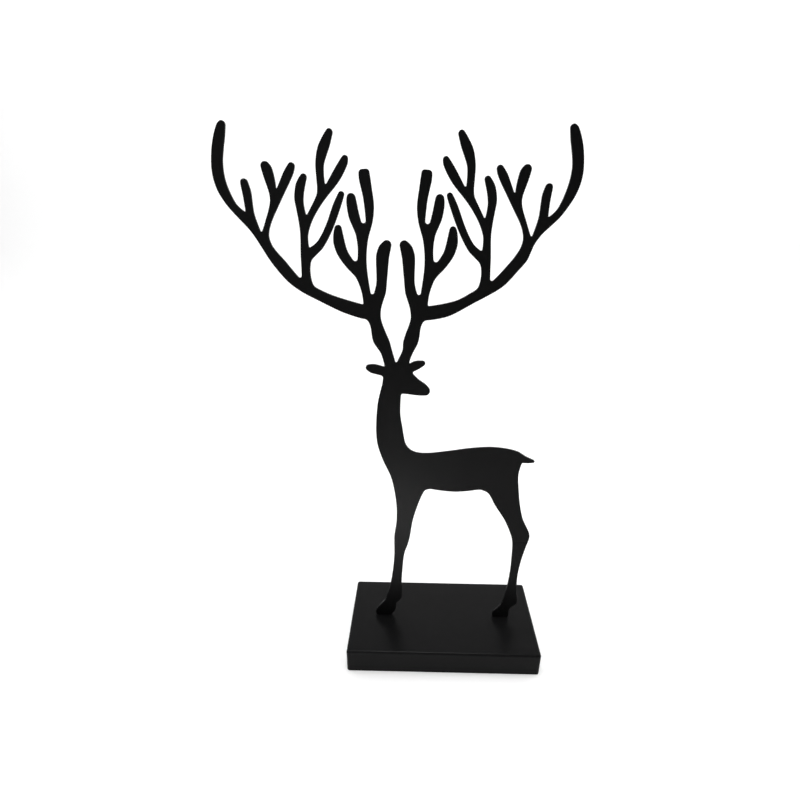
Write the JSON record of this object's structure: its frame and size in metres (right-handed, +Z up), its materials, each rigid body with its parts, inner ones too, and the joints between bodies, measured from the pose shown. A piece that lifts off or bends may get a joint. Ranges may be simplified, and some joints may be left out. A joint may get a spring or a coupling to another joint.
{
  "type": "metal reindeer figurine",
  "caption": "Flat sheet-steel reindeer silhouette with spreading antlers, standing upright on a low folded base, powder coated black.",
  "frame": {"origin": "middle of the whole object's extent, on the surface the base stands on", "axes": "+X to the right as the viewer faces the plate, the way the head looks; +Y away from the viewer, across the plate; +Z up"},
  "size_m": [0.264, 0.096, 0.4548],
  "materials": {
    "plate_coat": "satin black powder coat",
    "base_coat": "satin black powder coat"
  },
  "bodies": {
    "root": {"reindeer_plate": "plate_coat", "folded_base": "base_coat"}
  },
  "joints": []
}
